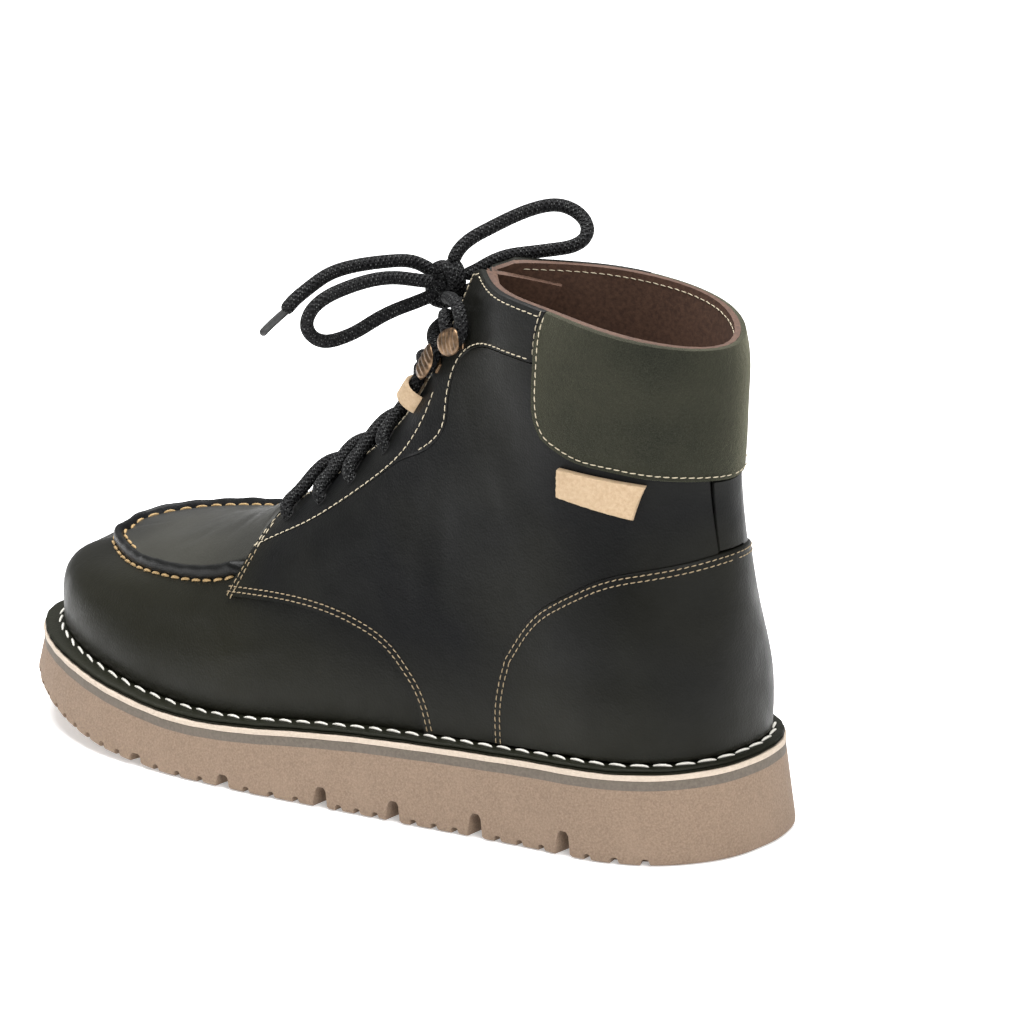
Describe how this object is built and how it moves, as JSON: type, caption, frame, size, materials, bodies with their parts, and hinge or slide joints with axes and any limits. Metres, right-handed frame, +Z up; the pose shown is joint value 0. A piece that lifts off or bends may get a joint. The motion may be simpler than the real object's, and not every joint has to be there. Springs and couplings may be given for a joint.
{
  "type": "lace-up boot",
  "caption": "Low leather lace-up boot with a moc toe, suede collar, layered wedge sole with side notches, speed hooks and laces tied in a bow.",
  "frame": {"origin": "on the ground under the heel, 35 mm in front of the back of the sole, on the shoe's long line", "axes": "+X to the toe, +Y to the wearer's outer side of this left boot, +Z up"},
  "size_m": [0.3046, 0.1127, 0.1956],
  "materials": {
    "outsole": "matt tan crepe-like rubber",
    "midsole": "matt cream rubber",
    "stripe": "matt grey rubber",
    "leather": "oiled near-black leather with a soft sheen",
    "suede": "napped dark suede",
    "lining": "smooth brown lining leather",
    "lace": "round braided cord",
    "brass": "antique brass",
    "tan": "natural tan leather"
  },
  "bodies": {
    "root": {"outsole": "outsole", "midsole_grey": "stripe", "midsole_cream": "midsole", "welt": "leather", "insole": "lining", "upper": "leather", "apron": "leather", "moc_lip": "leather", "quarter_outer": "leather", "quarter_inner": "leather", "counter": "leather", "cuff": "suede", "facing_outer": "leather", "facing_inner": "leather", "backstay": "leather", "tongue": "leather", "tag": "tan", "hook_outer_1": "brass", "hook_outer_2": "brass", "hook_inner_1": "brass", "hook_inner_2": "brass", "lace_loop_outer": "tan", "lace_loop_inner": "tan", "lace_crossings": "lace", "lace_knot": "lace", "bow_outer_loop": "lace", "bow_inner_loop": "lace", "lace_end_outer": "lace", "lace_end_inner": "lace", "aglet_outer": "brass"}
  },
  "joints": []
}
